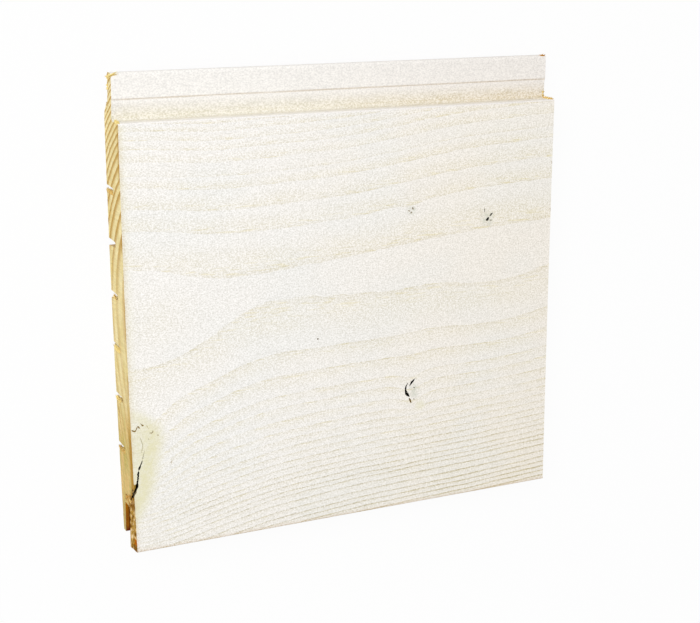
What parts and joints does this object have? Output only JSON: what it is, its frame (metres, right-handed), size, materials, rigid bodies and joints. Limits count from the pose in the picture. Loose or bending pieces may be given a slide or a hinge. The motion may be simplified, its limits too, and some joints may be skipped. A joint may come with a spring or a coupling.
{
  "type": "tongue and groove board",
  "caption": "Flat wood cladding board with a white-stained face, a shadow-gap channel below its tongue, an uneven-lipped groove and relief grooves in its back; joins edge to edge.",
  "frame": {"origin": "middle of the back, at the bottom centre of the overall box, with the board lying on its back", "axes": "+X along the grain and the sawn length, +Y across the board towards the tongue, +Z out of the stained front face"},
  "size_m": [0.195, 0.194, 0.019],
  "materials": {
    "white_stained_spruce": "thin white stain on the fine-sawn face, channel and tongue; bare spruce on the sawn ends, groove and back"
  },
  "bodies": {
    "root": {"board": "white_stained_spruce"}
  },
  "joints": []
}
